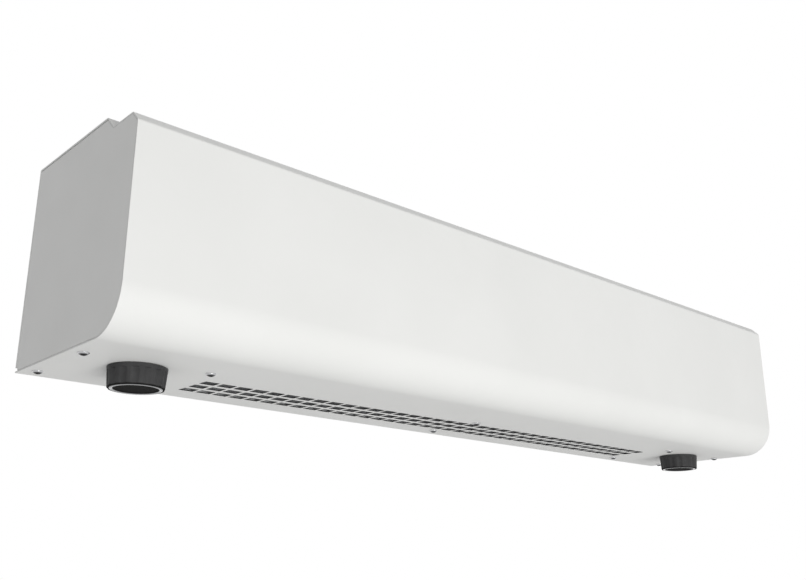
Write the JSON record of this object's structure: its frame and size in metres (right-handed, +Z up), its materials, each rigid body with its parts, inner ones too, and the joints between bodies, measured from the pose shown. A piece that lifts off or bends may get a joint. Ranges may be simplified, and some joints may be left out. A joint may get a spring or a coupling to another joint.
{
  "type": "air curtain",
  "caption": "Wall-hung electric air curtain: bent sheet casing, punched outlet grille, cross-flow fan with motor, finned heating rods and two rotary knobs.",
  "frame": {"origin": "centre of the four wall holes, on the back face that lies on the wall", "axes": "+X along the casing to the end with the cable gland, +Y into the wall, +Z up; the outlet grille and the knobs face -Z and the front faces -Y"},
  "size_m": [0.8, 0.162, 0.1929],
  "materials": {
    "casing_paint": "smooth white powder coat, satin gloss",
    "zinc_sheet": "galvanised sheet, dull with a faint spangle",
    "zinc_screw": "zinc plated, bright",
    "fan_aluminium": "mill finish",
    "cast_aluminium": "die cast, matt",
    "shaft_steel": "ground",
    "sintered_bronze": "sintered, oiled",
    "brass": "turned",
    "black_rubber": "matt",
    "core_steel": "stacked sheet, blued",
    "copper": "enamelled copper",
    "heater_steel": "sheathed rod with fins, heat tinted",
    "ceramic": "unglazed ceramic",
    "knob_plastic": "moulded, satin dark grey",
    "knob_chrome": "plated, bright",
    "dark_plastic": "moulded, matt",
    "block_plastic": "moulded, cream",
    "loom_sleeve": "sleeve, matt",
    "wire_insulation": "heat resistant sleeve"
  },
  "bodies": {
    "root": {"front_cover": "casing_paint", "chassis": "casing_paint", "left_end_panel": "casing_paint", "right_end_panel": "casing_paint", "casing_screws": "zinc_screw", "left_bulkhead": "zinc_sheet", "right_bulkhead": "zinc_sheet", "fan_scroll": "zinc_sheet", "fan_tongue": "zinc_sheet", "shaft_bearing": "sintered_bronze", "bearing_bush": "black_rubber", "motor_front_shield": "cast_aluminium", "motor_rear_shield": "cast_aluminium", "motor_stator": "core_steel", "motor_winding": "copper", "motor_bearings": "sintered_bronze", "motor_bolts": "zinc_screw", "motor_grommets": "black_rubber", "motor_spacers": "zinc_screw", "motor_screws": "zinc_screw", "motor_nuts": "zinc_screw", "run_capacitor": "fan_aluminium", "capacitor_nut": "zinc_screw", "front_heater": "heater_steel", "rear_heater": "heater_steel", "heater_bushes": "ceramic", "heater_terminals": "zinc_screw", "heater_supports": "zinc_sheet", "overheat_cutout": "dark_plastic", "thermostat": "dark_plastic", "thermostat_screws": "zinc_screw", "thermostat_bulb": "copper", "bulb_clips": "zinc_sheet", "mode_switch": "dark_plastic", "mode_switch_screws": "zinc_screw", "terminal_block": "block_plastic", "terminal_clamps": "brass", "earth_stud": "brass", "gland_body": "dark_plastic", "gland_locknut": "dark_plastic", "gland_nut": "dark_plastic", "gland_seal": "black_rubber", "wiring_loom": "loom_sleeve", "loom_grommets": "black_rubber", "left_leads": "wire_insulation", "right_leads": "wire_insulation"},
    "fan": {"impeller": "fan_aluminium", "drive_coupling": "black_rubber", "stub_shaft": "shaft_steel", "motor_rotor": "core_steel", "motor_shaft": "shaft_steel"},
    "thermostat_control": {"thermostat_knob": "knob_plastic", "thermostat_knob_ring": "knob_chrome", "thermostat_spindle": "shaft_steel"},
    "mode_control": {"mode_knob": "knob_plastic", "mode_knob_ring": "knob_chrome", "mode_spindle": "shaft_steel"}
  },
  "joints": [
    {"name": "fan_spin", "type": "hinge", "parent": "root", "child": "fan", "pos_m": [0, -0.0585, 0.015], "axis": [1, 0, 0], "continuous": true},
    {"name": "thermostat_turn", "type": "hinge", "parent": "root", "child": "thermostat_control", "pos_m": [-0.3426, -0.075, -0.085], "axis": [0, 0, 1], "range_deg": [0, 270]},
    {"name": "mode_turn", "type": "hinge", "parent": "root", "child": "mode_control", "pos_m": [0.3426, -0.075, -0.085], "axis": [0, 0, 1], "range_deg": [0, 135]}
  ]
}
